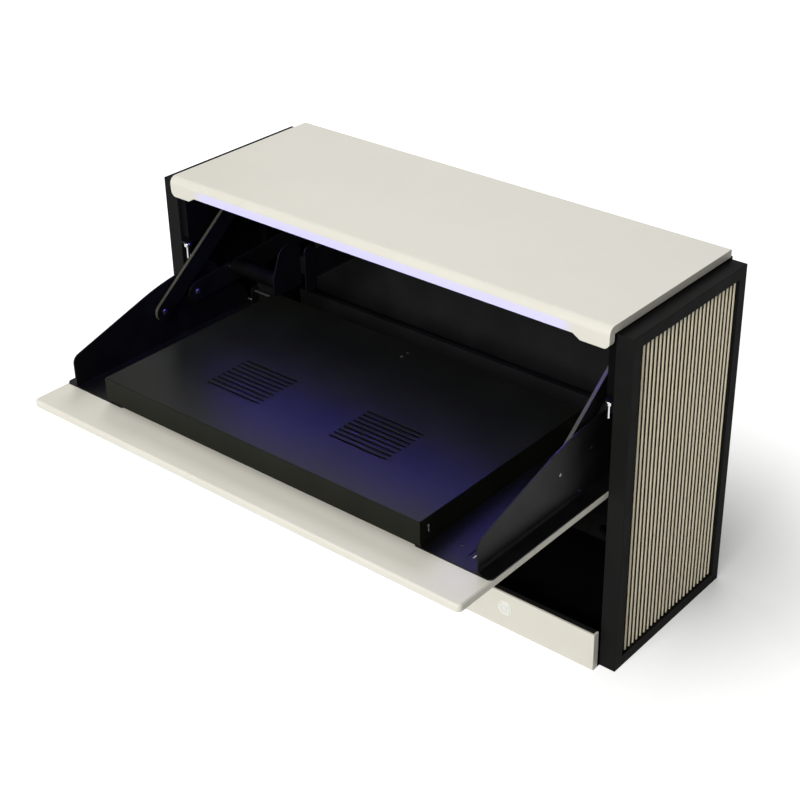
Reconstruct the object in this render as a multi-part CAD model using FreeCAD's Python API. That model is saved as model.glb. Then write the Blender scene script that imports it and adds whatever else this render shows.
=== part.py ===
import FreeCAD, Part
import math
import os

from FreeCAD import Vector

# Driving dimensions, mm. +Z up, the front faces -Y, the origin is on the floor
# under the middle of the cabinet.
cabinet_width = 1213.0
frame_depth = 400.0
frame_height = 750.0
board_thickness = 16.5
flap_thickness = 17.7

# Side frames and their slats
frame_thickness = 36.8
frame_member = 25.0
frame_edge_radius = 1.0
slat_count = 25
slat_depth = 3.5
slat_share = 0.43
slat_setback = 4.5
backing_thickness = 14.0

# Top, lip and light strip
top_gap = 3.3
front_overhang = 23.7
lip_thickness = 16.5
lip_tab_depth = 44.0
lip_cut_depth = 33.5
lip_tab_width = 62.0
lip_ramp = 17.0
lip_corner_radius = 15.0
panel_left_gap = 9.7
top_edge_radius = 16.0
edge_radius = 1.5

# Base, back and inner boards
base_height = 88.0
seal_thickness = 1.0
seal_setback = 4.5
seal_end_gap = 4.0
base_gap_to_frame = 7.7
floor_thickness = 18.0
back_thickness = 6.0
side_board_thickness = 18.8
side_board_setback = 6.0
side_cut_margin = 66.5
side_cut_height = 609.0
stop_plate = 3.0
stop_radius = 8.5
service_gap = 58.0
service_height = 366.0
service_thickness = 12.0
cable_hole_radius = 15.0
cable_hole_x = 351.0

# Push button
button_x = 350.0
button_height = 51.5
bezel_radius = 17.0
cap_radius = 13.2

# Flap and tray, laid open
flap_underside = 391.8
flap_reach_share = 0.7186
flap_side_gap = 6.3
flap_corner_radius = 11.0
flap_edge_radius = 5.0
lid_gap = 9.2
base_flap_gap = 12.0
sheet = 2.5
tray_front = 354.5
tray_rear = 160.0
tray_floor_width = 173.0
side_plate_inset = 38.7
side_plate_thickness = 3.0
bend_radius = 12.0

# Fold linkage: pivots on the tray, measured from the front plane and the floor
front_pivot_y = -109.0
front_pivot_z = 493.0
rear_pivot_y = -10.0
rear_pivot_z = 504.0
front_link_offset = 270.0
rear_link_share = 0.825
link_gap = 4.0
link_thickness = 8.0
front_link_width = 42.0
rear_link_width = 48.0
pin_radius = 5.0
pin_head_radius = 6.5
running_clearance = 0.05
boss_radius = 13.0

# Equipment box on the tray
box_left_rest = 40.0
box_right_rest = 16.5
box_front = -358.0
box_rear = 141.0
box_height = 57.0
box_foot = 9.5
box_wall = 2.0
pan_setback = 4.5
pan_thickness = 3.0
vent_count = 9
vent_length = 146.0
vent_width = 6.0
vent_pitch = 14.0

# Latch on the left tray floor
latch_inset = 34.0
latch_width = 51.0
latch_height = 454.5
latch_plate_height = 64.0

# Drive
motor_y = 100.8
motor_z = 529.0
motor_radius = 18.0
motor_length = 139.5
ring_length = 6.0

# Derived places
front = -frame_depth / 2.0
rear = frame_depth / 2.0
top_height = frame_height + top_gap + board_thickness
outer_x = cabinet_width / 2.0
inner_x = outer_x - frame_thickness
board_x = inner_x - side_board_thickness
side_plate_x = inner_x - side_plate_inset
front_face = front - front_overhang
top_underside = top_height - board_thickness
flap_top = flap_underside + flap_thickness
tray_floor_top = flap_top + sheet
flap_half = inner_x - flap_side_gap
tray_inner = flap_half - tray_floor_width
box_left = -tray_inner - box_left_rest
box_right = tray_inner + box_right_rest
closed_bottom = base_height + base_flap_gap
closed_top = top_height - lip_tab_depth - lid_gap
flap_length = closed_top - closed_bottom
flap_reach = flap_length * flap_reach_share
flap_rear = front - flap_reach + flap_length
side_cut_rear = flap_rear + side_cut_margin
rear_link_offset = frame_depth * rear_link_share
link_x = side_plate_x - link_gap - link_thickness
motor_left = -link_x + 8.0
motor_right = motor_left + motor_length
pin_start = link_x - 0.4
link_end = link_x + link_thickness
plate_end = side_plate_x + side_plate_thickness


def block(x0, x1, y0, y1, z0, z1):
    corner = Vector(min(x0, x1), min(y0, y1), min(z0, z1))
    return Part.makeBox(abs(x1 - x0), abs(y1 - y0), abs(z1 - z0), corner)


def rounded_face(corners, place):
    """A flat face from corners (u, v, radius), drawn where place puts them."""
    runs = []
    for i, (u, v, radius) in enumerate(corners):
        here = Vector(u, v, 0)
        before = Vector(corners[i - 1][0], corners[i - 1][1], 0) - here
        after = Vector(corners[(i + 1) % len(corners)][0], corners[(i + 1) % len(corners)][1], 0) - here
        before.normalize()
        after.normalize()
        if radius == 0:
            runs.append([here])
            continue
        half = before.getAngle(after) / 2.0
        inward = (before + after).normalize()
        centre = here + inward * (radius / math.sin(half))
        along = radius / math.tan(half)
        runs.append([here + before * along, centre - inward * radius, here + after * along])
    edges = []
    for i, run in enumerate(runs):
        points = [place(p.x, p.y) for p in run]
        if len(points) == 3:
            edges.append(Part.Arc(*points).toShape())
        following = runs[(i + 1) % len(runs)][0]
        target = place(following.x, following.y)
        if points[-1].distanceToPoint(target) > 1e-6:
            edges.append(Part.makeLine(points[-1], target))
    return Part.Face(Part.Wire(edges))


def plate_x(corners, x0, x1):
    """An outline in Y and Z, run from x0 to x1."""
    face = rounded_face(corners, lambda u, v: Vector(x0, u, v))
    return face.extrude(Vector(x1 - x0, 0, 0))


def plate_y(corners, y0, y1):
    """An outline in X and Z, run from y0 to y1."""
    face = rounded_face(corners, lambda u, v: Vector(u, y0, v))
    return face.extrude(Vector(0, y1 - y0, 0))


def plate_z(corners, z0, z1):
    """An outline in X and Y, run from z0 to z1."""
    face = rounded_face(corners, lambda u, v: Vector(u, v, z0))
    return face.extrude(Vector(0, 0, z1 - z0))


def rod_x(radius, x0, x1, y, z):
    return Part.makeCylinder(radius, x1 - x0, Vector(x0, y, z), Vector(1, 0, 0))


def turned_x(profile, y, z):
    """A turned piece about the X line through y, z: profile holds (x, radius) pairs."""
    points = [Vector(x, y + r, z) for x, r in profile]
    wire = Part.makePolygon(points + [points[0]])
    return Part.Face(wire).revolve(Vector(0, y, z), Vector(1, 0, 0), 360)


def mirrored(shape):
    return shape.mirror(Vector(0, 0, 0), Vector(1, 0, 0))


def sided(shape, side):
    return shape if side == "right" else mirrored(shape)


def round_edges(shape, radius, wanted):
    edges = [edge for edge in shape.Edges if wanted(edge)]
    return shape.makeFillet(radius, edges)


def runs_along(edge, axis):
    box = edge.BoundBox
    spans = {"x": box.XLength, "y": box.YLength, "z": box.ZLength}
    others = [spans[name] for name in spans if name != axis]
    return spans[axis] > 1.0 and max(others) < 1e-6


def save(node, shapes):
    solids = shapes if isinstance(shapes, list) else [shapes]
    shape = solids[0] if len(solids) == 1 else Part.makeCompound(solids)
    shape.exportStep(os.path.join("parts", node + ".step"))
    print(node, len(solids), [round(v, 1) for v in (shape.BoundBox.XMin, shape.BoundBox.XMax,
          shape.BoundBox.YMin, shape.BoundBox.YMax, shape.BoundBox.ZMin, shape.BoundBox.ZMax)])


def closed_place(y, z):
    """Where a point of the tray stands once the flap is shut and upright."""
    return front_face + z - flap_underside, closed_bottom + flap_rear - y


def ground_pivot(y, z, offset, toward):
    """The fixed pivot that is equally far from a tray pivot's open and shut places."""
    closed_y, closed_z = closed_place(y, z)
    along = Vector(0, closed_y - y, closed_z - z).normalize()
    across = Vector(0, -along.z, along.y)
    if across.dot(toward) < 0:
        across = across * -1.0
    middle = Vector(0, (y + closed_y) / 2.0, (z + closed_z) / 2.0)
    return middle + across * offset


def linkage():
    tray_front_pivot = Vector(0, front + front_pivot_y, front_pivot_z)
    tray_rear_pivot = Vector(0, front + rear_pivot_y, rear_pivot_z)
    front_ground = ground_pivot(tray_front_pivot.y, tray_front_pivot.z, front_link_offset, Vector(0, 0, 1))
    rear_ground = ground_pivot(tray_rear_pivot.y, tray_rear_pivot.z, rear_link_offset, Vector(0, 1, 0))
    return tray_front_pivot, tray_rear_pivot, front_ground, rear_ground


def side_frame():
    """The right frame as one ring with softened outline edges."""
    ring = block(inner_x, outer_x, front, rear, 0, frame_height)
    ring = round_edges(ring, frame_edge_radius, lambda edge: edge.BoundBox.XMin > outer_x - 0.1
                       or runs_along(edge, "x"))
    hole = block(inner_x - 1, outer_x + 1, front + frame_member, rear - frame_member,
                 frame_member, frame_height - frame_member)
    return ring.cut(hole)


def frame_members():
    ring = side_frame()
    low = frame_member
    high = frame_height - frame_member
    cuts = {
        "stile_front": block(inner_x - 1, outer_x + 1, front, front + frame_member, 0, frame_height),
        "stile_rear": block(inner_x - 1, outer_x + 1, rear - frame_member, rear, 0, frame_height),
        "rail_bottom": block(inner_x - 1, outer_x + 1, front + frame_member, rear - frame_member, 0, low),
        "rail_top": block(inner_x - 1, outer_x + 1, front + frame_member, rear - frame_member,
                          high, frame_height),
    }
    return {name: ring.common(cut).Solids[0] for name, cut in cuts.items()}


def slat_backing():
    face_x = outer_x - slat_setback - slat_depth
    return block(face_x - backing_thickness, face_x, front + frame_member, rear - frame_member,
                 frame_member, frame_height - frame_member)


def slats():
    """Upright slats with a rounded face, side by side over the backing."""
    back_x = outer_x - slat_setback - slat_depth
    pitch = (frame_depth - 2 * frame_member) / slat_count
    half = pitch * slat_share / 2.0
    shoulder = slat_depth * 0.35
    low = frame_member + 0.5
    high = frame_height - frame_member - 0.5
    made = []
    for i in range(slat_count):
        middle = front + frame_member + (i + 0.5) * pitch
        base_left = Vector(back_x, middle - half, low)
        base_right = Vector(back_x, middle + half, low)
        side_left = Vector(back_x + shoulder, middle - half, low)
        side_right = Vector(back_x + shoulder, middle + half, low)
        crown = Vector(back_x + slat_depth, middle, low)
        edges = [Part.makeLine(base_left, base_right), Part.makeLine(base_right, side_right),
                 Part.Arc(side_right, crown, side_left).toShape(), Part.makeLine(side_left, base_left)]
        made.append(Part.Face(Part.Wire(edges)).extrude(Vector(0, 0, high - low)))
    return made


def top_panel():
    """The top board folded down in front as a lip, with a shallow cut between two end tabs."""
    left = -inner_x + panel_left_gap
    lip_back = front_face + lip_thickness
    tab_bottom = top_height - lip_tab_depth
    cut_bottom = top_height - lip_cut_depth
    section = plate_x([
        (front_face, top_height, top_edge_radius),
        (front_face, tab_bottom, edge_radius),
        (lip_back, tab_bottom, edge_radius),
        (lip_back, top_underside, 0),
        (rear, top_underside, 0),
        (rear, top_height, edge_radius),
    ], left, inner_x)
    tab_end = inner_x - lip_tab_width
    outline = plate_y([
        (left, top_height + 1, 0),
        (left, tab_bottom, lip_corner_radius),
        (-tab_end, tab_bottom, 3.0),
        (-tab_end + lip_ramp, cut_bottom, 6.0),
        (tab_end - lip_ramp, cut_bottom, 6.0),
        (tab_end, tab_bottom, 3.0),
        (inner_x, tab_bottom, lip_corner_radius),
        (inner_x, top_height + 1, 0),
    ], front_face - 1, rear + 1)
    return section.common(outline)


def led_strip():
    """A shallow light bar under the top, just behind the lip."""
    half = inner_x - lip_tab_width - lip_ramp
    start = front_face + lip_thickness
    return plate_x([
        (start, top_underside, 0),
        (start, top_underside - 9.0, 3.0),
        (start + 12.0, top_underside - 9.0, 3.0),
        (start + 12.0, top_underside, 0),
    ], -half, half)


def base_panel():
    depth = front_overhang - base_gap_to_frame
    panel = block(-inner_x, inner_x, front_face, front_face + depth, 0, base_height)
    panel = round_edges(panel, edge_radius, lambda edge: edge.BoundBox.YMax < front_face + 0.1)
    hole = Part.makeCylinder(bezel_radius - 2.0, depth + 2, Vector(button_x, front_face - 1, button_height),
                             Vector(0, 1, 0))
    return panel.cut(hole)


def base_seal():
    depth = front_overhang - base_gap_to_frame
    half = inner_x - seal_end_gap
    return block(-half, half, front_face + seal_setback, front_face + depth,
                 base_height, base_height + seal_thickness)


def bottom_board():
    return block(-inner_x, inner_x, front - base_gap_to_frame, rear, 0, floor_thickness)


def back_panel():
    return block(-inner_x, inner_x, rear, rear + back_thickness, 0, top_underside)


def service_panel():
    near = rear - service_gap
    panel = block(-board_x, board_x, near, near + service_thickness, floor_thickness, service_height)
    hole_z = floor_thickness + cable_hole_radius + 12.0
    hole = Part.makeCylinder(cable_hole_radius, service_thickness + 2, Vector(cable_hole_x, near - 1, hole_z),
                             Vector(0, 1, 0))
    return panel.cut(hole)


def side_board():
    """The right inner board, cut away at the lower front so that the flap can swing."""
    return plate_x([
        (front + side_board_setback, top_underside, 0),
        (front + side_board_setback, side_cut_height, 14.0),
        (side_cut_rear, side_cut_height, 25.0),
        (side_cut_rear, floor_thickness, 0),
        (rear, floor_thickness, 0),
        (rear, top_underside, 0),
    ], board_x, inner_x)


def stop_place():
    return inner_x - 13.0, front + side_board_setback + 1.0, side_cut_height - stop_plate


def stop_bracket():
    """A small plate under the right inner board's front corner that reaches out over the stop."""
    x, y, z = stop_place()
    return plate_z([
        (board_x, y - stop_radius, 3.0),
        (inner_x, y - stop_radius, 0),
        (inner_x, y + 40.0, 0),
        (board_x, y + 40.0, 3.0),
    ], z, side_cut_height)


def stop_stud():
    """A chrome stop hung from the right bracket: a disc on a short stem."""
    x, y, z = stop_place()
    disc = Part.makeCylinder(stop_radius, 9.0, Vector(x, y, z - 9.0))
    disc = disc.makeFillet(1.5, [disc.Edges[0], disc.Edges[2]])
    stem = Part.makeCylinder(4.5, 27.0, Vector(x, y, z - 36.0))
    return disc.fuse(stem).removeSplitter()


def button_housing():
    """A cup let into the base panel, with a thin flange on its front."""
    flange_front = front_face - 1.5
    flange = Part.makeCylinder(bezel_radius, 1.5, Vector(button_x, flange_front, button_height),
                               Vector(0, 1, 0))
    flange = flange.makeFillet(0.9, [flange.Edges[2]] if flange.Edges[2].BoundBox.YMax < front_face - 1.4
                               else [flange.Edges[0]])
    sleeve = Part.makeCylinder(bezel_radius - 2.0, 15.0, Vector(button_x, front_face, button_height),
                               Vector(0, 1, 0))
    well = Part.makeCylinder(cap_radius + 0.35, 15.0, Vector(button_x, flange_front - 1, button_height),
                             Vector(0, 1, 0))
    return flange.fuse(sleeve).removeSplitter().cut(well)


def push_button():
    """A round cap with a fine ring groove in its face."""
    cap_front = front_face - 2.6
    cap = Part.makeCylinder(cap_radius, 11.0, Vector(button_x, cap_front, button_height), Vector(0, 1, 0))
    cap = round_edges(cap, 1.0, lambda edge: edge.BoundBox.YMax < cap_front + 0.1)
    ring = Part.makeCylinder(7.2, 0.5, Vector(button_x, cap_front, button_height), Vector(0, 1, 0))
    ring = ring.cut(Part.makeCylinder(6.2, 0.5, Vector(button_x, cap_front, button_height), Vector(0, 1, 0)))
    return cap.cut(ring)


def drive_motor():
    """A round drive tube lying along X."""
    tube = rod_x(motor_radius, motor_left, motor_right, front + motor_y, motor_z)
    return tube.makeFillet(1.5, [edge for edge in tube.Edges if edge.BoundBox.XLength < 1e-6])


def motor_ring():
    y = front + motor_y
    ring = rod_x(motor_radius - 1.5, motor_left - ring_length, motor_left, y, motor_z)
    return ring.cut(rod_x(motor_radius - 6.0, motor_left - ring_length - 1, motor_left - 2.0, y, motor_z))


def motor_bracket():
    """Two upright plates and a channel arm that carries the drive off the back panel."""
    y = front + motor_y
    left_x = motor_right
    right_x = motor_right + 44.0
    plate_corners = [
        (y - 22.0, motor_z - 27.0, 3.0),
        (y + 66.0, motor_z - 27.0, 3.0),
        (y + 66.0, motor_z + 81.0, 30.0),
        (y + 4.0, motor_z + 81.0, 30.0),
        (y - 22.0, motor_z + 17.0, 12.0),
    ]
    left_plate = plate_x(plate_corners, left_x, left_x + 3.0)
    right_plate = plate_x([
        (y + 36.0, motor_z - 27.0, 3.0),
        (y + 66.0, motor_z - 27.0, 3.0),
        (y + 66.0, motor_z + 81.0, 12.0),
        (y + 36.0, motor_z + 81.0, 12.0),
    ], right_x - 3.0, right_x)
    arm = block(left_x, right_x, y + 63.0, rear, motor_z, motor_z + 40.0)
    arm = arm.cut(block(left_x + 3.0, right_x - 3.0, y + 66.0, rear + 1, motor_z - 1, motor_z + 37.0))
    return left_plate.fuse([right_plate, arm]).removeSplitter()


def link(start, end, width):
    """A flat right-hand link with round ends and a bore at each pivot."""
    along = end - start
    length = along.Length
    half = width / 2.0
    bar = plate_z([
        (-half, -half, half - 0.01),
        (length + half, -half, half - 0.01),
        (length + half, half, half - 0.01),
        (-half, half, half - 0.01),
    ], 0, link_thickness)
    bar = bar.makeFillet(0.8, [edge for edge in bar.Edges if edge.BoundBox.ZLength < 1e-6])
    for reach in (0.0, length):
        bar = bar.cut(Part.makeCylinder(pin_radius + running_clearance, link_thickness + 2,
                                        Vector(reach, 0, -1)))
    angle = math.degrees(math.atan2(along.z, along.y))
    bar.rotate(Vector(0, 0, 0), Vector(0, 0, 1), angle)
    bar.rotate(Vector(0, 0, 0), Vector(1, 1, 1), 120)
    bar.translate(Vector(link_x, start.y, start.z))
    return bar


def tray_pin(pivot):
    """A right-hand pin that holds a link against the tray's side plate, turned down at its outer end."""
    return turned_x([
        (pin_start - 1.6, 0.0),
        (pin_start - 1.6, pin_head_radius - 2.0),
        (pin_start - 0.6, pin_head_radius),
        (pin_start, pin_head_radius),
        (pin_start, pin_radius),
        (link_end + 0.4, pin_radius),
        (link_end + 0.4, pin_radius + 4.0),
        (side_plate_x, pin_radius + 4.0),
        (side_plate_x, pin_radius),
        (side_plate_x + 1.0, pin_radius),
        (side_plate_x + 1.0, pin_radius - 1.6),
        (plate_end - 0.3, pin_radius - 1.6),
        (plate_end - 0.3, 0.0),
    ], pivot.y, pivot.z)


def ground_pin(pivot):
    """A right-hand boss on the inner side board, turned down to a riveted pin for a link."""
    return turned_x([
        (pin_start - 1.6, 0.0),
        (pin_start - 1.6, pin_head_radius - 2.0),
        (pin_start - 0.6, pin_head_radius),
        (pin_start, pin_head_radius),
        (pin_start, pin_radius),
        (link_end + 0.4, pin_radius),
        (link_end + 0.4, boss_radius - 1.0),
        (link_end + 1.4, boss_radius),
        (board_x, boss_radius),
        (board_x, 0.0),
    ], pivot.y, pivot.z)


def ground_boss(pivot):
    """A right-hand boss on the inner side board that a link's end stands against."""
    return turned_x([
        (link_end + 0.6, 0.0),
        (link_end + 0.6, boss_radius - 1.0),
        (link_end + 1.6, boss_radius),
        (board_x, boss_radius),
        (board_x, 0.0),
    ], pivot.y, pivot.z)


def link_end_pin(pivot):
    """The rivet that fills the rear end of a right-hand rear link."""
    return turned_x([
        (link_x - 1.6, 0.0),
        (link_x - 1.6, pin_head_radius - 2.0),
        (link_x - 0.6, pin_head_radius),
        (link_x, pin_head_radius),
        (link_x, pin_radius),
        (link_end - 0.2, pin_radius),
        (link_end - 0.2, 0.0),
    ], pivot.y, pivot.z)


def flap_panel():
    """The white front board, lying flat with its outer face down."""
    board = plate_z([
        (-flap_half, front - flap_reach, flap_corner_radius),
        (flap_half, front - flap_reach, flap_corner_radius),
        (flap_half, flap_rear, 6.0),
        (-flap_half, flap_rear, 6.0),
    ], flap_underside, flap_top)
    level = [edge for edge in board.Edges if edge.BoundBox.ZLength < 1e-6]
    return board.makeFillet(flap_edge_radius, level)


def tray_bracket(front_pivot, rear_pivot):
    """The right-hand sheet bracket: a floor on the flap and an upright plate for the links."""
    floor = plate_z([
        (tray_inner, front - tray_front, 3.0),
        (flap_half, front - tray_front, 10.0),
        (flap_half, front + tray_rear, 3.0),
        (tray_inner, front + tray_rear, 3.0),
    ], flap_top, tray_floor_top)
    plate = plate_x([
        (front - tray_front + 0.5, flap_top, 0),
        (front - tray_front + 0.5, 478.3, 20.0),
        (front - 72.0, 563.5, 600.0),
        (front + 40.0, 563.5, 30.0),
        (front + 150.0, 440.0, 12.0),
        (front + 150.0, flap_top, 0),
    ], side_plate_x, plate_end)
    bracket = floor.fuse(plate).removeSplitter()
    bracket = round_edges(bracket, bend_radius, lambda edge: runs_along(edge, "y")
                          and abs(edge.BoundBox.XMin - plate_end) < 1e-4
                          and abs(edge.BoundBox.ZMin - tray_floor_top) < 1e-4)
    for pivot in (front_pivot, rear_pivot):
        bracket = bracket.cut(rod_x(pin_radius, side_plate_x - 1, plate_end + 1, pivot.y, pivot.z))
    return bracket


def right_openings():
    """The cable openings of the right tray bracket: one in its plate, two in its floor."""
    tie_hole = rod_x(5.0, side_plate_x - 1, plate_end + 1, front - 46.0, 428.5)
    pilot = Part.makeCylinder(2.6, sheet + 2, Vector(458.0, front - 301.0, flap_top - 1))
    near = front - 321.0
    pocket = block(486.0, 499.0, near, near + 28.0, tray_floor_top - 1.6, tray_floor_top + 1)
    slit = block(494.5, 498.5, near + 1.0, near + 27.0, flap_top - 1, tray_floor_top)
    return Part.makeCompound([tie_hole, pilot, pocket.fuse(slit)])


def vent_slots(top_z):
    """Two grilles of long slots through the box's lid."""
    cutters = []
    for start_x in (-255.0, 80.0):
        for i in range(vent_count):
            y = front - 237.0 + i * vent_pitch
            cutters.append(plate_z([
                (start_x, y - vent_width / 2, vent_width / 2 - 0.01),
                (start_x + vent_length, y - vent_width / 2, vent_width / 2 - 0.01),
                (start_x + vent_length, y + vent_width / 2, vent_width / 2 - 0.01),
                (start_x, y + vent_width / 2, vent_width / 2 - 0.01),
            ], top_z - box_wall - 1, top_z + 1))
    return Part.makeCompound(cutters)


def box_cover():
    """The black sheet cover: a top with two grilles and four walls, open below."""
    low = tray_floor_top + box_foot
    high = tray_floor_top + box_height
    near = front + box_front
    far = front + box_rear
    shell = block(box_left, box_right, near, far, low, high)
    shell = round_edges(shell, edge_radius, lambda edge: edge.BoundBox.ZMin > high - 0.1
                        or runs_along(edge, "z"))
    hollow = block(box_left + box_wall, box_right - box_wall, near + box_wall, far - box_wall,
                   low - 1, high - box_wall)
    return shell.cut(hollow).cut(vent_slots(high))


def box_base():
    """The box's base pan: a thin plate with a rim that carries the cover's sides and back."""
    low = tray_floor_top
    high = low + box_foot + 9.0
    near = front + box_front + pan_setback
    far = front + box_rear - box_wall
    left = box_left + box_wall
    right = box_right - box_wall
    pan = block(left, right, near, far, low, high)
    return pan.cut(block(left + 2.0, right - 2.0, near + 2.0, far - 2.0, low + pan_thickness, high + 1))


def screw_z(x, y, z):
    """A small domed screw head standing on a level face."""
    head = Part.makeSphere(5.0, Vector(x, y, z - 3.6))
    head = head.common(Part.makeCylinder(3.4, 3.0, Vector(x, y, z)))
    socket = Part.makeBox(3.2, 0.8, 1.0, Vector(x - 1.6, y - 0.4, z + 0.9))
    return head.cut(socket)


def box_screws():
    high = tray_floor_top + box_height
    return [screw_z(-12.5, front + 108.4, high), screw_z(-12.5, front + 89.8, high)]


def side_catch():
    """A slim upright catch on the box's right wall, near the front."""
    y = front - 333.0
    z = 445.0
    catch = plate_x([
        (y - 2.0, z - 8.0, 1.9),
        (y + 2.0, z - 8.0, 1.9),
        (y + 2.0, z + 8.0, 1.9),
        (y - 2.0, z + 8.0, 1.9),
    ], box_right, box_right + 2.0)
    return round_edges(catch, 0.8, lambda edge: edge.BoundBox.XMin > box_right + 1.9)


def latch_bracket():
    """A sheet bracket on the left tray floor: an ear that holds the latch pin and a plate behind it."""
    y = front + box_rear
    left = -side_plate_x + latch_inset
    right = left + latch_width
    plate_top = tray_floor_top + latch_plate_height
    foot = block(left, right, y - 12.0, y + 12.0, tray_floor_top, tray_floor_top + 2.5)
    ear = plate_x([
        (y - 12.0, tray_floor_top, 0),
        (y + 12.0, tray_floor_top, 0),
        (y + 12.0, latch_height + 11.0, 3.0),
        (y - 12.0, latch_height + 11.0, 10.0),
    ], left, left + 3.0)
    back = plate_y([
        (left, tray_floor_top, 0),
        (right, tray_floor_top, 0),
        (right, plate_top, 3.0),
        (left, plate_top, 8.0),
    ], y + 9.0, y + 12.0)
    bracket = foot.fuse([ear, back]).removeSplitter()
    return bracket.cut(rod_x(3.1, left - 1, left + 4.0, y, latch_height))


def latch_pin():
    start = -side_plate_x + latch_inset - 3.0
    end = start + latch_width
    return turned_x([
        (start, 0.0), (start, 2.0), (start + 1.0, 3.0), (end - 1.0, 3.0), (end, 2.0), (end, 0.0),
    ], front + box_rear, latch_height)


def main():
    os.makedirs("parts", exist_ok=True)
    front_pivot, rear_pivot, front_ground, rear_ground = linkage()
    for side in ("left", "right"):
        for name, member in frame_members().items():
            save(name + "_" + side, sided(member, side))
        save("slat_backing_" + side, sided(slat_backing(), side))
        save("slats_" + side, [sided(slat, side) for slat in slats()])
        save("side_board_" + side, sided(side_board(), side))
        save("front_link_" + side, sided(link(front_pivot, front_ground, front_link_width), side))
        save("rear_link_" + side, sided(link(rear_pivot, rear_ground, rear_link_width), side))
        save("rear_link_rivet_" + side, sided(link_end_pin(rear_ground), side))
    for node, piece in (("stop_brackets", stop_bracket()), ("stop_studs", stop_stud()),
                        ("front_tray_pins", tray_pin(front_pivot)),
                        ("rear_tray_pins", tray_pin(rear_pivot)),
                        ("front_ground_pins", ground_pin(front_ground)),
                        ("rear_ground_bosses", ground_boss(rear_ground))):
        save(node, [piece, mirrored(piece)])
    bracket = tray_bracket(front_pivot, rear_pivot)
    save("tray_bracket_left", mirrored(bracket))
    save("tray_bracket_right", bracket.cut(right_openings()))
    save("top_panel", top_panel())
    save("led_strip", led_strip())
    save("base_panel", base_panel())
    save("base_seal", base_seal())
    save("bottom_board", bottom_board())
    save("back_panel", back_panel())
    save("service_panel", service_panel())
    save("button_housing", button_housing())
    save("push_button", push_button())
    save("drive_motor", drive_motor())
    save("motor_ring", motor_ring())
    save("motor_bracket", motor_bracket())
    save("flap_panel", flap_panel())
    save("box_cover", box_cover())
    save("box_base", box_base())
    save("box_screws", box_screws())
    save("box_side_catch", side_catch())
    save("latch_bracket", latch_bracket())
    save("latch_pin", latch_pin())
    for name, pivot in (("front tray pivot", front_pivot), ("rear tray pivot", rear_pivot),
                        ("front ground pivot", front_ground), ("rear ground pivot", rear_ground)):
        print(name, round(pivot.y, 4), round(pivot.z, 4))


main()
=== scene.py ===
import math

import bpy
import numpy as np
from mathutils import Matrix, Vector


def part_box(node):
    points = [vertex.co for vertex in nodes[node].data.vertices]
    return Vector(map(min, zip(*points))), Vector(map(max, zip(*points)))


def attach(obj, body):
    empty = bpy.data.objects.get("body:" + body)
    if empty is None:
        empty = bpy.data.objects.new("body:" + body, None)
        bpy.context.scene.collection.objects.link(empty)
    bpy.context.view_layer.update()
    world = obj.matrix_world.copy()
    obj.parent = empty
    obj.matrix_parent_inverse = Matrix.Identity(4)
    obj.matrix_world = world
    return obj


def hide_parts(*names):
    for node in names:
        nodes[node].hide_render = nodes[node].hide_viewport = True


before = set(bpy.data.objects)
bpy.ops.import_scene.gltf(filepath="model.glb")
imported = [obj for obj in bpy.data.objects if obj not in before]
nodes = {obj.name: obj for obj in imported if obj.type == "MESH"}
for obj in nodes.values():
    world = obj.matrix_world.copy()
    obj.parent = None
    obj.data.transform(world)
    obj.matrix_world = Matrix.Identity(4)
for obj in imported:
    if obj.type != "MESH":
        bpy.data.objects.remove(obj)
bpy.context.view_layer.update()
mm = 0.001
print("frame loaded,", len(nodes), "nodes")


def linear(hexColour):
    # sRGB hex to linear red, green, blue, alpha
    channels = [int(hexColour[i:i + 2], 16) / 255 for i in (0, 2, 4)]
    return [c / 12.92 if c <= 0.04045 else ((c + 0.055) / 1.055) ** 2.4 for c in channels] + [1.0]


def spots(sizeMm):
    # the noise scale that gives spots about this many millimetres across
    return 1.0 / (sizeMm * mm)


def addNode(tree, kind, links, **settings):
    # links fill the inputs, by name or number, with a value or a node's output; settings are its choices
    node = tree.nodes.new(kind)
    for name, value in settings.items():
        setattr(node, name, value)
    for name, value in links.items():
        if isinstance(value, bpy.types.NodeSocket):
            tree.links.new(value, node.inputs[name])
        else:
            node.inputs[name].default_value = value
    return node


def newMaterial(name, constants):
    # a Principled surface with its whole-surface constants on its own sockets
    material = bpy.data.materials.new(name)
    material.use_nodes = True
    shader = material.node_tree.nodes["Principled BSDF"]
    for socket, value in constants.items():
        shader.inputs[socket].default_value = value
    return material, material.node_tree, shader


def join(tree, shader, links):
    # each output goes to the shader's socket of that name
    for name, output in links.items():
        tree.links.new(output, shader.inputs[name])


def paint(material, *names):
    # the named CAD nodes take this material and no other
    for name in names:
        slots = nodes[name].data.materials
        slots.clear()
        slots.append(material)


def bothSides(*stems):
    return [stem + "_" + side for stem in stems for side in ("left", "right")]


def surfacePiece(name, points, faces, material, body):
    # a smooth mesh from whole arrays: points n by 3 in metres, faces m by 4 corner numbers
    mesh = bpy.data.meshes.new(name)
    mesh.from_pydata(points.tolist(), [], faces.tolist())
    mesh.polygons.foreach_set("use_smooth", np.full(len(faces), True))
    mesh.materials.append(material)
    mesh.update()
    piece = bpy.data.objects.new(name, mesh)
    bpy.context.scene.collection.objects.link(piece)
    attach(piece, body)
    return piece


def tubeFaces(rings, around):
    # the cells between rings of points that close on themselves
    ring, corner = np.meshgrid(np.arange(rings - 1), np.arange(around), indexing="ij")
    following = (corner + 1) % around
    return np.stack([ring * around + corner, ring * around + following,
                     (ring + 1) * around + following, (ring + 1) * around + corner], -1).reshape(-1, 4)


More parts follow.
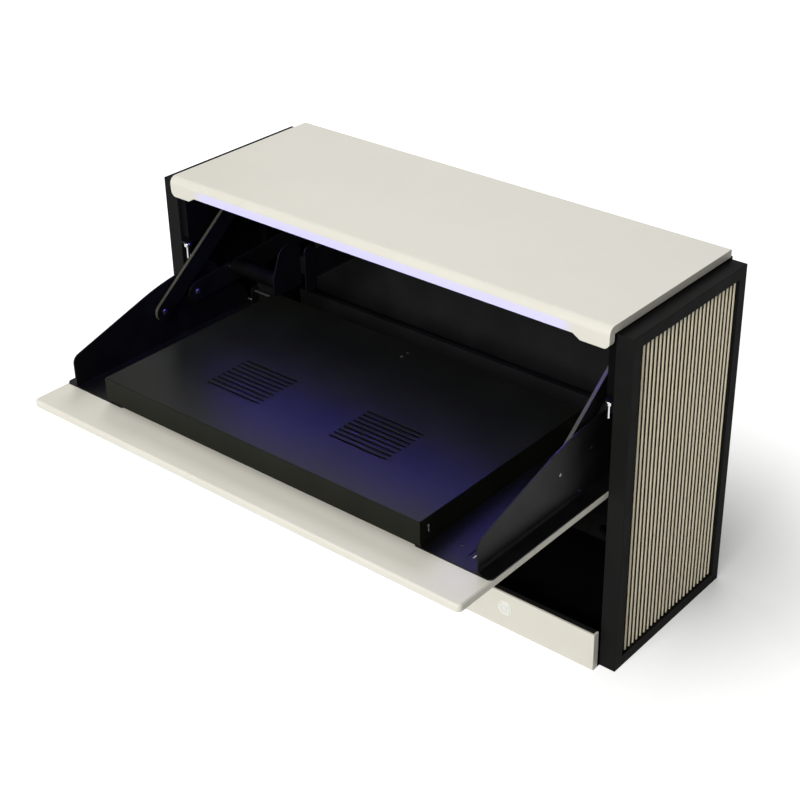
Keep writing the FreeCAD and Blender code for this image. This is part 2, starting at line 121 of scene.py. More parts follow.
# what all the finishes share: the noise values between which the tint and the gloss change over, and
# the cosine of a rounded edge's lean at which the edge colour, partly rubbing and partly painted light,
# starts and at which it is complete
common = {"tint": (0.35, 0.65), "gloss": (0.3, 0.7), "edgeWearAndShadingFrom": 0.98, "edgeWearAndShadingFully": 0.80,
          "edgeSamples": 4}


def coatedSurface(name, look):
    # paint or foil on board or sheet: a slow drift of tint and gloss, a fine relief, and an edge colour on
    # sharp edges and creases that is partly rubbing and partly painted light: a painted highlight on most
    # finishes, painted shade on the button
    material, tree, shader = newMaterial(name, {"IOR": look["ior"], "Specular IOR Level": look["shine"]})
    place = addNode(tree, "ShaderNodeTexCoord", {}).outputs["Object"]
    drift = addNode(tree, "ShaderNodeTexNoise", {
        "Vector": place, "Scale": spots(look["driftMm"]), "Detail": 4.0})
    relief = addNode(tree, "ShaderNodeTexNoise", {
        "Vector": place, "Scale": spots(look["reliefMm"]), "Detail": 2.0})
    share = addNode(tree, "ShaderNodeMapRange", {
        "Value": drift.outputs["Fac"], "From Min": common["tint"][0], "From Max": common["tint"][1]})
    tint = addNode(tree, "ShaderNodeMix", {
        0: share.outputs["Result"], 6: linear(look["dark"]), 7: linear(look["light"])}, data_type="RGBA")
    edge = addNode(tree, "ShaderNodeBevel", {"Radius": look["edgeMm"] * mm}, samples=common["edgeSamples"])
    flat = addNode(tree, "ShaderNodeNewGeometry", {})
    facing = addNode(tree, "ShaderNodeVectorMath", {
        0: edge.outputs["Normal"], 1: flat.outputs["Normal"]}, operation="DOT_PRODUCT")
    # edges and creases take the edge colour: partly rubbing, partly a painted highlight (painted shade on the
    # button)
    edgeWearAndShadingShare = addNode(tree, "ShaderNodeMapRange", {
        "Value": facing.outputs["Value"], "From Min": common["edgeWearAndShadingFrom"],
        "From Max": common["edgeWearAndShadingFully"], "To Max": look["edgeWearAndShadingShare"]})
    colour = addNode(tree, "ShaderNodeMix", {
        0: edgeWearAndShadingShare.outputs["Result"], 6: tint.outputs[2], 7: linear(look["edgeWearAndShading"])}, data_type="RGBA")
    gloss = addNode(tree, "ShaderNodeMapRange", {
        "Value": drift.outputs["Fac"], "From Min": common["gloss"][0], "From Max": common["gloss"][1],
        "To Min": look["rough"][0], "To Max": look["rough"][1]})
    bump = addNode(tree, "ShaderNodeBump", {
        "Distance": look["depthMm"] * mm, "Height": relief.outputs["Fac"], "Normal": edge.outputs["Normal"]})
    join(tree, shader, {"Base Color": colour.outputs[2], "Roughness": gloss.outputs["Result"],
                        "Normal": bump.outputs["Normal"]})
    return material, tree, shader


# satin polyurethane lacquer sprayed on MDF: a soft gloss with a faint orange peel about 3 mm across; its
# paler edges are a painted highlight
whiteLacquer = {"dark": "dad7cb", "light": "dddace", "edgeWearAndShading": "e6e3d8", "edgeWearAndShadingShare": 0.1, "driftMm": 140,
                "reliefMm": 3.0, "depthMm": 0.03, "edgeMm": 0.8, "rough": (0.39, 0.43),
                "ior": 1.5, "shine": 0.28}

# satin black lacquer on the frame timbers, paler along the arrises: a little rubbing and a painted edge
# highlight
blackLacquer = {"dark": "0f0f0f", "light": "141413", "edgeWearAndShading": "222221", "edgeWearAndShadingShare": 0.4, "driftMm": 60,
                "reliefMm": 1.6, "depthMm": 0.04, "edgeMm": 0.9, "rough": (0.70, 0.78),
                "ior": 1.5, "shine": 0.10}

# polyester powder coat on sheet steel: a fine grit of about 1 mm, drawn 1.5 mm across so that it shows; paler
# edges, partly rubbing and partly a painted highlight
powderCoat = {"dark": "0a0a0b", "light": "0f0f10", "edgeWearAndShading": "1e1e20", "edgeWearAndShadingShare": 0.4, "driftMm": 45,
              "reliefMm": 1.5, "depthMm": 0.06, "edgeMm": 0.6, "rough": (0.42, 0.50),
              "ior": 1.5, "shine": 0.18}

# black melamine on chipboard: a matt pearl grain of about 0.6 mm, drawn 1.2 mm across so that it shows; paler
# edges, partly rubbing and partly a painted highlight
blackMelamine = {"dark": "060606", "light": "090909", "edgeWearAndShading": "141414", "edgeWearAndShadingShare": 0.4, "driftMm": 90,
                 "reliefMm": 1.2, "depthMm": 0.05, "edgeMm": 0.6, "rough": (0.55, 0.68),
                 "ior": 1.5, "shine": 0.04}

# the back boards' melamine, painted a shade greyer than the side boards' as a stand-in for the light that
# reaches the back through the opening
backMelaminePaintedLighter = {"dark": "151515", "light": "1b1b1b", "edgeWearAndShading": "1f1f1f", "edgeWearAndShadingShare": 0.4, "driftMm": 90,
                "reliefMm": 1.2, "depthMm": 0.05, "edgeMm": 0.6, "rough": (0.55, 0.68),
                "ior": 1.5, "shine": 0.06}

# black enamelled sheet steel of the equipment box, smooth enough to take the lamp's glow; its pale edge line
# is a painted highlight with some rubbing
boxPaint = {"dark": "151611", "light": "191a14", "edgeWearAndShading": "45453c", "edgeWearAndShadingShare": 0.6, "driftMm": 110,
            "reliefMm": 1.3, "depthMm": 0.03, "edgeMm": 0.7, "rough": (0.37, 0.40),
            "ior": 1.5, "shine": 0.1}

# matt black paint on the drive's steel tube; paler edges, partly rubbing and partly a painted highlight
drivePaint = {"dark": "060606", "light": "0a0a0a", "edgeWearAndShading": "181818", "edgeWearAndShadingShare": 0.3, "driftMm": 30,
              "reliefMm": 1.0, "depthMm": 0.03, "edgeMm": 0.5, "rough": (0.5, 0.6),
              "ior": 1.5, "shine": 0.05}

# moulded ABS of the push button: bright, smooth, a fine spark-eroded texture; the grey at its rims and in its
# groove is painted shade
buttonAbs = {"dark": "e9e8e1", "light": "eeede7", "edgeWearAndShading": "a3a19a", "edgeWearAndShadingShare": 0.8, "driftMm": 20,
             "reliefMm": 0.9, "depthMm": 0.02, "edgeMm": 0.9, "rough": (0.28, 0.34),
             "ior": 1.46, "shine": 0.5}

# the links' edge faces in a paler warm grey: a painted highlight, warm against the strip's violet light; the
# X part of a face's normal says if it is a side or an edge
linkEdgeHighlight = {"colour": "464338", "sideAbove": 0.8, "edgeBelow": 0.4}


def linkSteelWithPaintedEdges(look):
    # powder coat as on the brackets, with a painted highlight on the edge faces
    material, tree, shader = coatedSurface("powder coat with painted edge highlight", powderCoat)
    facing = addNode(tree, "ShaderNodeNewGeometry", {}).outputs["Normal"]
    axes = addNode(tree, "ShaderNodeSeparateXYZ", {"Vector": facing})
    flat = addNode(tree, "ShaderNodeMath", {0: axes.outputs["X"]}, operation="ABSOLUTE")
    share = addNode(tree, "ShaderNodeMapRange", {
        "Value": flat.outputs["Value"], "From Min": look["sideAbove"], "From Max": look["edgeBelow"]})
    coat = shader.inputs["Base Color"].links[0].from_socket
    # edge faces take the painted highlight colour
    colour = addNode(tree, "ShaderNodeMix", {
        0: share.outputs["Result"], 6: coat, 7: linear(look["colour"])}, data_type="RGBA")
    join(tree, shader, {"Base Color": colour.outputs[2]})
    return material


def platedMetal(name, look):
    # plated or turned metal: a fine directionless haze in the gloss and faint turning lines
    material, tree, shader = newMaterial(name, {"Metallic": 1.0})
    place = addNode(tree, "ShaderNodeTexCoord", {}).outputs["Object"]
    haze = addNode(tree, "ShaderNodeTexNoise", {
        "Vector": place, "Scale": spots(look["hazeMm"]), "Detail": 4.0})
    drawn = addNode(tree, "ShaderNodeMapping", {"Vector": place, "Scale": look["drawn"]})
    lines = addNode(tree, "ShaderNodeTexNoise", {
        "Vector": drawn.outputs["Vector"], "Scale": spots(look["lineMm"]), "Detail": 2.0})
    colour = addNode(tree, "ShaderNodeMix", {
        0: haze.outputs["Fac"], 6: linear(look["dark"]), 7: linear(look["light"])}, data_type="RGBA")
    gloss = addNode(tree, "ShaderNodeMapRange", {
        "Value": haze.outputs["Fac"], "From Min": common["gloss"][0], "From Max": common["gloss"][1],
        "To Min": look["rough"][0], "To Max": look["rough"][1]})
    edge = addNode(tree, "ShaderNodeBevel", {"Radius": look["edgeMm"] * mm}, samples=common["edgeSamples"])
    bump = addNode(tree, "ShaderNodeBump", {
        "Distance": look["depthMm"] * mm, "Height": lines.outputs["Fac"], "Normal": edge.outputs["Normal"]})
    join(tree, shader, {"Base Color": colour.outputs[2], "Roughness": gloss.outputs["Result"],
                        "Normal": bump.outputs["Normal"]})
    return material


# chrome plate: bright, nearly a mirror
chromePlate = {"dark": "c4c6ca", "light": "dfe0e2", "hazeMm": 4.0, "lineMm": 0.8, "drawn": (1.0, 1.0, 0.2),
               "depthMm": 0.002, "edgeMm": 0.3, "rough": (0.07, 0.14)}

# zinc-plated turned steel: grey, half matt, with turning lines round the pin
zincSteel = {"dark": "8b8e92", "light": "aeb1b5", "hazeMm": 2.5, "lineMm": 0.5, "drawn": (1.0, 0.15, 0.15),
             "depthMm": 0.01, "edgeMm": 0.3, "rough": (0.28, 0.42)}

# yellow-passivated steel of the screw heads: a warm grey-gold, half matt
passivatedSteel = {"dark": "8c7440", "light": "b29b66", "hazeMm": 1.2, "lineMm": 0.4,
                   "drawn": (0.2, 1.0, 1.0), "depthMm": 0.008, "edgeMm": 0.3, "rough": (0.25, 0.4)}

# natural anodised aluminium of the light's channel: extrusion lines along X
anodisedChannel = {"dark": "8f9194", "light": "a9abae", "hazeMm": 6.0, "lineMm": 0.6,
                   "drawn": (0.02, 1.0, 1.0), "depthMm": 0.006, "edgeMm": 0.3, "rough": (0.32, 0.4)}

# black closed-cell foam strip of the seal: matt, open cut cells about 0.9 mm across, painted dark in their
# hollows
foamStrip = {"dark": "050505", "light": "171716", "cellMm": 0.9, "depthMm": 0.2, "rough": 0.9, "shine": 0.2}


def foamRubber(look):
    # cells of uneven size, pale at their walls and darker towards their middles, where the bump sinks:
    # painted shade in the hollows
    material, tree, shader = newMaterial("black foam rubber", {
        "IOR": 1.5, "Specular IOR Level": look["shine"], "Roughness": look["rough"]})
    place = addNode(tree, "ShaderNodeTexCoord", {}).outputs["Object"]
    cells = addNode(tree, "ShaderNodeTexVoronoi", {"Vector": place, "Scale": spots(look["cellMm"])})
    colour = addNode(tree, "ShaderNodeMix", {
        0: cells.outputs["Distance"], 6: linear(look["dark"]), 7: linear(look["light"])}, data_type="RGBA")
    bump = addNode(tree, "ShaderNodeBump", {
        "Distance": look["depthMm"] * mm, "Height": cells.outputs["Distance"]})
    join(tree, shader, {"Base Color": colour.outputs[2], "Normal": bump.outputs["Normal"]})
    return material


# pressed polyester felt in the backing board's outer 3 mm: matt, with fibres about 0.5 mm thick
# that are drawn 1.2 mm across so that they show; further in the colour is near black
feltOnBoard = {"dark": "2a2410", "light": "41381b", "board": "060606", "fibreMm": 1.2, "tangle": 1.5,
               "thickMm": 3.0, "fadeMm": 0.5, "depthMm": 0.25, "rough": 0.95, "shine": 0.05}


def oliveFelt(look, outerX):
    # felt colour from the outer face at outerX inwards for its thickness, near black further in
    material, tree, shader = newMaterial("pressed olive felt", {
        "IOR": 1.5, "Specular IOR Level": look["shine"], "Roughness": look["rough"]})
    place = addNode(tree, "ShaderNodeTexCoord", {}).outputs["Object"]
    fibres = addNode(tree, "ShaderNodeTexNoise", {
        "Vector": place, "Scale": spots(look["fibreMm"]), "Detail": 5.0, "Distortion": look["tangle"]})
    colour = addNode(tree, "ShaderNodeMix", {
        0: fibres.outputs["Fac"], 6: linear(look["dark"]), 7: linear(look["light"])}, data_type="RGBA")
    axes = addNode(tree, "ShaderNodeSeparateXYZ", {"Vector": place})
    out = addNode(tree, "ShaderNodeMath", {0: axes.outputs["X"]}, operation="ABSOLUTE")
    innerX = outerX - look["thickMm"] * mm
    layer = addNode(tree, "ShaderNodeMapRange", {
        "Value": out.outputs["Value"], "From Min": innerX, "From Max": innerX + look["fadeMm"] * mm})
    both = addNode(tree, "ShaderNodeMix", {
        0: layer.outputs["Result"], 6: linear(look["board"]), 7: colour.outputs[2]}, data_type="RGBA")
    bump = addNode(tree, "ShaderNodeBump", {
        "Distance": look["depthMm"] * mm, "Height": fibres.outputs["Fac"]})
    join(tree, shader, {"Base Color": both.outputs[2], "Normal": bump.outputs["Normal"]})
    return material


whitePaint = coatedSurface("satin lacquer on MDF", whiteLacquer)[0]
framePaint = coatedSurface("satin black lacquer", blackLacquer)[0]
steelPaint = coatedSurface("black powder coat", powderCoat)[0]
boardFoil = coatedSurface("black melamine", blackMelamine)[0]
backFoilPaintedLighter = coatedSurface("black melamine painted lighter", backMelaminePaintedLighter)[0]
boxFinish = coatedSurface("black enamelled sheet steel", boxPaint)[0]
driveFinish = coatedSurface("matt black tube", drivePaint)[0]
buttonPlastic = coatedSurface("white ABS", buttonAbs)[0]
chrome = platedMetal("chrome plate", chromePlate)
turnedSteel = platedMetal("zinc-plated turned steel", zincSteel)
screwSteel = platedMetal("yellow passivated steel", passivatedSteel)

paint(whitePaint, "flap_panel", "base_panel")
paint(framePaint, *bothSides("stile_front", "stile_rear", "rail_bottom", "rail_top"))
paint(steelPaint, *bothSides("tray_bracket", "rear_link"), "latch_bracket", "motor_bracket", "stop_brackets")
paint(linkSteelWithPaintedEdges(linkEdgeHighlight), *bothSides("front_link"))
paint(boardFoil, *bothSides("side_board"), "bottom_board")
paint(backFoilPaintedLighter, "back_panel", "service_panel")
paint(boxFinish, "box_cover", "box_base")
paint(driveFinish, "drive_motor")
paint(buttonPlastic, "push_button", "button_housing")
paint(chrome, "stop_studs", "motor_ring")
paint(turnedSteel, "front_tray_pins", "rear_tray_pins", "front_ground_pins", "rear_ground_bosses",
      *bothSides("rear_link_rivet"), "box_side_catch", "latch_pin")
paint(screwSteel, "box_screws")
paint(oliveFelt(feltOnBoard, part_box("slat_backing_right")[1].x), *bothSides("slat_backing"))
paint(foamRubber(foamStrip), "base_seal")
print("finishes given")


topLow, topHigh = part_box("top_panel")
stripLow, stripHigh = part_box("led_strip")

# a painted glow on the front of the top's lip, emission standing in for the strip's light: full up to full
# behind front, gone by skin behind it, and fading out towards each end and towards the top edge
lipPaintedGlow = {"colour": "2c1cff", "strength": 0.48, "front": topLow.y, "skin": 1.5 * mm, "full": 0.6 * mm,
           "end": stripHigh.x + 8 * mm, "fade": 50 * mm, "top": topHigh.z - 12 * mm, "blend": 8 * mm}


def lacqueredTopWithPaintedGlow(lip):
    # the top board's lacquer with a painted glow: emission along the flat front of its lip between the tabs,
    # standing in for the strip's light
    material, tree, shader = coatedSurface("satin lacquer with painted glow band", whiteLacquer)
    place = addNode(tree, "ShaderNodeTexCoord", {}).outputs["Object"]
    axes = addNode(tree, "ShaderNodeSeparateXYZ", {"Vector": place})
    across = addNode(tree, "ShaderNodeMath", {0: axes.outputs["X"]}, operation="ABSOLUTE")
    ends = addNode(tree, "ShaderNodeMapRange", {
        "Value": across.outputs["Value"], "From Min": lip["end"], "From Max": lip["end"] - lip["fade"]},
        interpolation_type="SMOOTHSTEP")
    upper = addNode(tree, "ShaderNodeMapRange", {
        "Value": axes.outputs["Z"], "From Min": lip["top"], "From Max": lip["top"] - lip["blend"]},
        interpolation_type="SMOOTHSTEP")
    face = addNode(tree, "ShaderNodeMapRange", {
        "Value": axes.outputs["Y"], "From Min": lip["front"] + lip["skin"],
        "From Max": lip["front"] + lip["full"]})
    band = addNode(tree, "ShaderNodeMath", {
        0: ends.outputs["Result"], 1: upper.outputs["Result"]}, operation="MULTIPLY")
    paintedGlow = addNode(tree, "ShaderNodeMath", {
        0: band.outputs["Value"], 1: face.outputs["Result"]}, operation="MULTIPLY")
    level = addNode(tree, "ShaderNodeMath", {
        0: paintedGlow.outputs["Value"], 1: lip["strength"]}, operation="MULTIPLY")
    # the painted glow is emission in the lacquer, not a lamp
    shader.inputs["Emission Color"].default_value = linear(lip["colour"])
    join(tree, shader, {"Emission Strength": level.outputs["Value"]})
    return material


paint(lacqueredTopWithPaintedGlow(lipPaintedGlow), "top_panel")
print("top lacquered")


# the light strip under the top: an aluminium channel with an opal cover that bulges by drop; spill is the
# watts that light what is below, sheen the watts that only show as a reflection, aimed forward by lean
lightStrip = {"wall": 1.2 * mm, "drop": 2.2 * mm, "slack": 0.1 * mm, "endInset": 0.4 * mm, "endDraw": 0.9,
              "diodePitch": 16.6 * mm, "around": 24, "below": 0.4 * mm, "margin": 2 * mm,
              "spill": 0.08, "sheen": 6.3, "lean": 0.22, "aimHeight": 0.2, "colour": "6c62ff"}

# opal polycarbonate over a row of diodes: an even violet-blue light, a touch brighter over each diode
opalCover = {"body": "e6e4f2", "light": "8a84ff", "between": 1.5, "over": 1.9, "ior": 1.58, "rough": 0.45}


def opalDiffuser(look, pitch):
    # brightness follows a cosine along X, one wave to a diode
    material, tree, shader = newMaterial("opal polycarbonate, lit", {
        "IOR": look["ior"], "Roughness": look["rough"], "Base Color": linear(look["body"]),
        "Emission Color": linear(look["light"])})
    place = addNode(tree, "ShaderNodeTexCoord", {}).outputs["Object"]
    axes = addNode(tree, "ShaderNodeSeparateXYZ", {"Vector": place})
    turn = addNode(tree, "ShaderNodeMath", {
        0: axes.outputs["X"], 1: 2 * math.pi / pitch}, operation="MULTIPLY")
    wave = addNode(tree, "ShaderNodeMath", {0: turn.outputs["Value"]}, operation="COSINE")
    level = addNode(tree, "ShaderNodeMapRange", {
        "Value": wave.outputs["Value"], "From Min": -1.0, "To Min": look["between"], "To Max": look["over"]})
    join(tree, shader, {"Emission Strength": level.outputs["Result"]})
    return material


def profileAlongX(name, y, z, x0, x1, material, body):
    # a closed outline y, z carried from x0 to x1, its end rings drawn in towards the middle
    inset = lightStrip["endInset"]
    draw = lightStrip["endDraw"]
    stations = np.array([x0, x0, x0 + inset, x1 - inset, x1, x1])
    shrink = np.array([0.0, draw, 1.0, 1.0, draw, 0.0])
    middleY, middleZ = y.mean(), z.mean()
    ringY = middleY + (y - middleY) * shrink[:, None]
    ringZ = middleZ + (z - middleZ) * shrink[:, None]
    ringX = np.broadcast_to(stations[:, None], ringY.shape)
    points = np.stack([ringX, ringY, ringZ], -1).reshape(-1, 3)
    return surfacePiece(name, points, tubeFaces(len(stations), len(y)), material, body)


def lightChannel():
    # a U of sheet, open below: outer wall down, across, and back up inside
    low, high = stripLow, stripHigh
    wall = lightStrip["wall"]
    y = np.array([low.y, low.y, high.y, high.y, high.y - wall, high.y - wall, low.y + wall, low.y + wall])
    z = np.array([low.z + wall, high.z, high.z, low.z + wall, low.z + wall, high.z - wall, high.z - wall,
                  low.z + wall])
    metal = platedMetal("anodised aluminium", anodisedChannel)
    return profileAlongX("light_channel", y, z, low.x, high.x, metal, "cabinet")


def lightCover():
    # a shallow dome: half an ellipse bulging down between the channel's walls, flat on top
    low, high = stripLow, stripHigh
    wall = lightStrip["wall"]
    turn = np.linspace(math.pi, 2 * math.pi, lightStrip["around"])
    half = (high.y - low.y) / 2 - wall - lightStrip["slack"]
    y = (low.y + high.y) / 2 + half * np.cos(turn)
    z = low.z + lightStrip["drop"] + lightStrip["drop"] * np.sin(turn)
    opal = opalDiffuser(opalCover, lightStrip["diodePitch"])
    return profileAlongX("light_cover", y, z, low.x + wall, high.x - wall, opal, "cabinet")


channel = lightChannel()
cover = lightCover()
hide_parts("led_strip")
print("light strip made")


# slim is the share of the CAD slat that the rounded reed fills; fullness and shoulder shape its section
reeds = {"count": 25, "slim": 0.80, "fullness": 0.85, "shoulder": 0.85, "around": 15,
         "endRound": 0.6 * mm, "endDraw": 0.92}

# beige foil wrapped round the reeds: straight grain up each reed, and each reed its own shade
wrappedFoil = {"dark": "e8dfc4", "light": "f5edd4", "grainMm": 1.6, "upright": 0.03, "grainShare": 0.6,
               "grainStart": -0.1, "reedShare": 0.4, "depthMm": 0.05, "rough": (0.48, 0.62),
               "ior": 1.48, "shine": 0.3}


def reededFoil(look, pitch, firstY):
    # the reed's number, counted along Y from the first, draws its shade; noise stretched up Z is the grain
    material, tree, shader = newMaterial("wrapped beige foil", {
        "IOR": look["ior"], "Specular IOR Level": look["shine"]})
    place = addNode(tree, "ShaderNodeTexCoord", {}).outputs["Object"]
    axes = addNode(tree, "ShaderNodeSeparateXYZ", {"Vector": place})
    along = addNode(tree, "ShaderNodeMath", {0: axes.outputs["Y"], 1: firstY}, operation="SUBTRACT")
    number = addNode(tree, "ShaderNodeMath", {0: along.outputs["Value"], 1: pitch}, operation="DIVIDE")
    whole = addNode(tree, "ShaderNodeMath", {0: number.outputs["Value"]}, operation="ROUND")
    draw = addNode(tree, "ShaderNodeTexWhiteNoise", {"W": whole.outputs["Value"]}, noise_dimensions="1D")
    stretched = addNode(tree, "ShaderNodeMapping", {"Vector": place, "Scale": (1.0, 1.0, look["upright"])})
    streaks = addNode(tree, "ShaderNodeTexNoise", {
        "Vector": stretched.outputs["Vector"], "Scale": spots(look["grainMm"]), "Detail": 3.0})
    blend = addNode(tree, "ShaderNodeMath", {
        0: streaks.outputs["Fac"], 1: look["grainShare"], 2: look["grainStart"]}, operation="MULTIPLY_ADD")
    share = addNode(tree, "ShaderNodeMath", {
        0: draw.outputs["Value"], 1: look["reedShare"], 2: blend.outputs["Value"]}, operation="MULTIPLY_ADD")
    colour = addNode(tree, "ShaderNodeMix", {
        0: share.outputs["Value"], 6: linear(look["dark"]), 7: linear(look["light"])}, data_type="RGBA")
    gloss = addNode(tree, "ShaderNodeMapRange", {
        "Value": streaks.outputs["Fac"], "To Min": look["rough"][0], "To Max": look["rough"][1]})
    bump = addNode(tree, "ShaderNodeBump", {
        "Distance": look["depthMm"] * mm, "Height": streaks.outputs["Fac"]})
    join(tree, shader, {"Base Color": colour.outputs[2], "Roughness": gloss.outputs["Result"],
                        "Normal": bump.outputs["Normal"]})
    return material


def reededSide(side):
    # every reed is a half superellipse, y = half cos^a, x = depth sin^b, run up Z with its ends drawn in
    low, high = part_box("slats_" + side)
    fieldLow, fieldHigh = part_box("slat_backing_" + side)
    outward = 1.0 if side == "right" else -1.0
    pitch = (fieldHigh.y - fieldLow.y) / reeds["count"]
    half = reeds["slim"] * (pitch / 2 - (low.y - fieldLow.y))
    depth = reeds["slim"] * (high.x - low.x)
    rootX = low.x if side == "right" else high.x
    turn = np.linspace(0.0, math.pi, reeds["around"])
    across = half * np.sign(np.cos(turn)) * np.abs(np.cos(turn)) ** reeds["shoulder"]
    proud = depth * np.abs(np.sin(turn)) ** reeds["fullness"]
    bottom = low.z + reeds["endRound"]
    top = high.z - reeds["endRound"]
    levels = np.array([low.z, low.z, bottom, top, high.z, high.z])
    size = np.array([0.0, reeds["endDraw"], 1.0, 1.0, reeds["endDraw"], 0.0])
    middles = fieldLow.y + pitch * (np.arange(reeds["count"]) + 0.5)
    y = middles[:, None, None] + across[None, None, :] * size[None, :, None]
    x = rootX + outward * proud[None, None, :] * size[None, :, None] + np.zeros_like(y)
    z = levels[None, :, None] + np.zeros_like(y)
    points = np.stack([x, y, z], -1).reshape(-1, 3)
    one = tubeFaces(len(levels), reeds["around"])
    if side == "left":
        one = one[:, ::-1]
    offsets = np.arange(reeds["count"]) * len(levels) * reeds["around"]
    faces = (one[None] + offsets[:, None, None]).reshape(-1, 4)
    foil = reededFoil(wrappedFoil, pitch, middles[0])
    piece = surfacePiece("reeds_" + side, points, faces, foil, "cabinet")
    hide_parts("slats_" + side)


for side in ("left", "right"):
    reededSide(side)
print("reeded sides made")


# each lamp: degrees round from straight in front towards +X, degrees up, metres away, its sizes and its watts
studioLamps = {"key": (6.5, 26.5, 9.0, (3.4, 2.4), 530), "side_key": (28, 28, 9.0, (2.4, 2.4), 265),
               "left_top": (-90, 62, 8.0, (4.0, 4.0), 212), "rear": (-148, 38, 9.0, (5.5, 4.0), 300)}

# metres; the floor's lift rises from liftNear at near to liftFar at far from the shade point, which paints a
# shadow on the floor by the cabinet's right rear, and then to full white between paleFrom and paleTo
studio = {"aim": (0.0, -0.2, 0.4), "ambient": 0.0, "floorColour": "c0c0be", "floorHalf": 30.0,
          "shade": (0.50, 0.28, 0.0), "near": 0.0, "far": 0.65, "liftNear": 0.17, "liftFar": 0.76,
          "paleFrom": 2.5, "paleTo": 5.0}


def studioFloor():
    # a big level sheet that keeps the object's shadow; to the eye it is lifted by a smooth step of the
    # distance from the shade point, a painted shadow there, plus a straight ramp further out
    half = studio["floorHalf"]
    corners = [[-half, -half, 0.0], [half, -half, 0.0], [half, half, 0.0], [-half, half, 0.0]]
    mesh = bpy.data.meshes.new("studio_floor")
    mesh.from_pydata(corners, [], [[0, 1, 2, 3]])
    material, tree, shader = newMaterial("matt studio floor", {
        "Roughness": 0.9, "Specular IOR Level": 0.0, "Base Color": linear(studio["floorColour"]),
        "Emission Color": (1.0, 1.0, 1.0, 1.0)})
    place = addNode(tree, "ShaderNodeTexCoord", {}).outputs["Object"]
    away = addNode(tree, "ShaderNodeVectorMath", {0: place, 1: studio["shade"]}, operation="DISTANCE")
    # a painted shadow: less lift near the shade point
    level = addNode(tree, "ShaderNodeMapRange", {
        "Value": away.outputs["Value"], "From Min": studio["near"], "From Max": studio["far"],
        "To Min": studio["liftNear"], "To Max": studio["liftFar"]}, interpolation_type="SMOOTHSTEP")
    distant = addNode(tree, "ShaderNodeMapRange", {
        "Value": away.outputs["Value"], "From Min": studio["paleFrom"], "From Max": studio["paleTo"],
        "To Max": 1.0 - studio["liftFar"]})
    total = addNode(tree, "ShaderNodeMath", {
        0: level.outputs["Result"], 1: distant.outputs["Result"]}, operation="ADD")
    path = addNode(tree, "ShaderNodeLightPath", {})
    seen = addNode(tree, "ShaderNodeMath", {
        0: path.outputs["Is Camera Ray"], 1: path.outputs["Is Glossy Ray"]}, operation="MAXIMUM")
    lift = addNode(tree, "ShaderNodeMath", {
        0: seen.outputs["Value"], 1: total.outputs["Value"]}, operation="MULTIPLY")
    join(tree, shader, {"Emission Strength": lift.outputs["Value"]})
    mesh.materials.append(material)
    floor = bpy.data.objects.new("studio_floor", mesh)
    bpy.context.scene.collection.objects.link(floor)


def studioWorld():
    # white to the eye behind everything, and as light on the object only as strong as ambient
    world = bpy.data.worlds.new("studio")
    world.use_nodes = True
    bpy.context.scene.world = world
    tree = world.node_tree
    background = tree.nodes["Background"]
    background.inputs["Color"].default_value = (1.0, 1.0, 1.0, 1.0)
    path = addNode(tree, "ShaderNodeLightPath", {})
    strength = addNode(tree, "ShaderNodeMapRange", {
        "Value": path.outputs["Is Camera Ray"], "To Min": studio["ambient"], "To Max": 1.0})
    tree.links.new(strength.outputs["Result"], background.inputs["Strength"])


def lampPlace(turn, rise, far):
    # the spot far metres from the aim, turned from straight in front and raised from the floor
    x, y, z = studio["aim"]
    out = far * math.cos(rise)
    return (x + out * math.sin(turn), y - out * math.cos(turn), z + far * math.sin(rise))


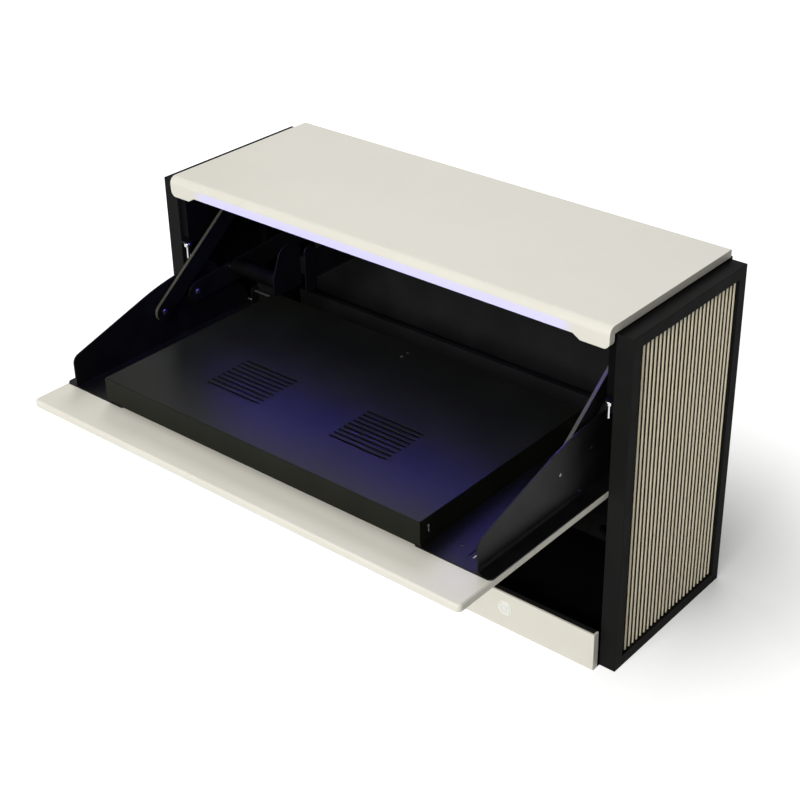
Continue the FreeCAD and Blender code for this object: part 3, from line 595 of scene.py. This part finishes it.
def areaLamp(name, place, aim, sizes, watts, colour):
    # a rectangle at place that faces its aim
    lamp = bpy.data.lights.new(name, "AREA")
    lamp.shape = "RECTANGLE"
    lamp.size, lamp.size_y = sizes
    lamp.energy = watts
    lamp.color = linear(colour)[:3]
    holder = bpy.data.objects.new(name, lamp)
    holder.location = place
    toward = np.array(aim) - np.array(place)
    flat = math.hypot(toward[0], toward[1])
    turn = math.atan2(-toward[0], toward[1]) if flat else 0.0
    holder.rotation_euler = (math.atan2(flat, -toward[2]), 0.0, turn)
    bpy.context.scene.collection.objects.link(holder)
    return holder


def stripLamps():
    # the strip's own light, as two lamps just under its cover
    y = (stripLow.y + stripHigh.y) / 2
    place = (0.0, y, stripLow.z - lightStrip["below"])
    sizes = (stripHigh.x - stripLow.x, stripHigh.y - stripLow.y - lightStrip["margin"])
    straightDown = (0.0, y, 0.0)
    forward = (0.0, y - lightStrip["lean"], lightStrip["aimHeight"])
    spill = areaLamp("strip_spill", place, straightDown, sizes, lightStrip["spill"], lightStrip["colour"])
    spill.visible_glossy = False
    sheen = areaLamp("strip_sheen", place, forward, sizes, lightStrip["sheen"], lightStrip["colour"])
    sheen.visible_diffuse = False


studioFloor()
studioWorld()
for name, (turn, rise, far, sizes, watts) in studioLamps.items():
    place = lampPlace(math.radians(turn), math.radians(rise), far)
    areaLamp(name, place, studio["aim"], sizes, watts, "ffffff")
stripLamps()
print("lamps set")


# place and reach in metres, pitch and turn in degrees, focal and sensor in the lens's millimetres; middle
# is the pixel that the lens looks straight at, in a square frame of so many pixels
view = {"place": (1.90494, -2.33117, 2.06917), "pitch": 60.40, "turn": 38.37, "focal": 71.69,
        "sensor": 36.0, "middle": (461.5, 383.4), "pixels": 800.0, "reach": 100.0}


def viewCamera():
    # the shift is how far the middle pixel lies from the frame's centre, as a share of the frame
    camera = bpy.data.cameras.new("view")
    camera.sensor_width = view["sensor"]
    camera.lens = view["focal"]
    camera.shift_x = (view["pixels"] / 2 - view["middle"][0]) / view["pixels"]
    camera.shift_y = (view["middle"][1] - view["pixels"] / 2) / view["pixels"]
    camera.clip_end = view["reach"]
    eye = bpy.data.objects.new("view", camera)
    eye.location = view["place"]
    eye.rotation_euler = (math.radians(view["pitch"]), 0.0, math.radians(view["turn"]))
    bpy.context.scene.collection.objects.link(eye)
    bpy.context.scene.camera = eye


viewCamera()
bpy.context.scene.view_settings.view_transform = "Standard"
print("camera set")
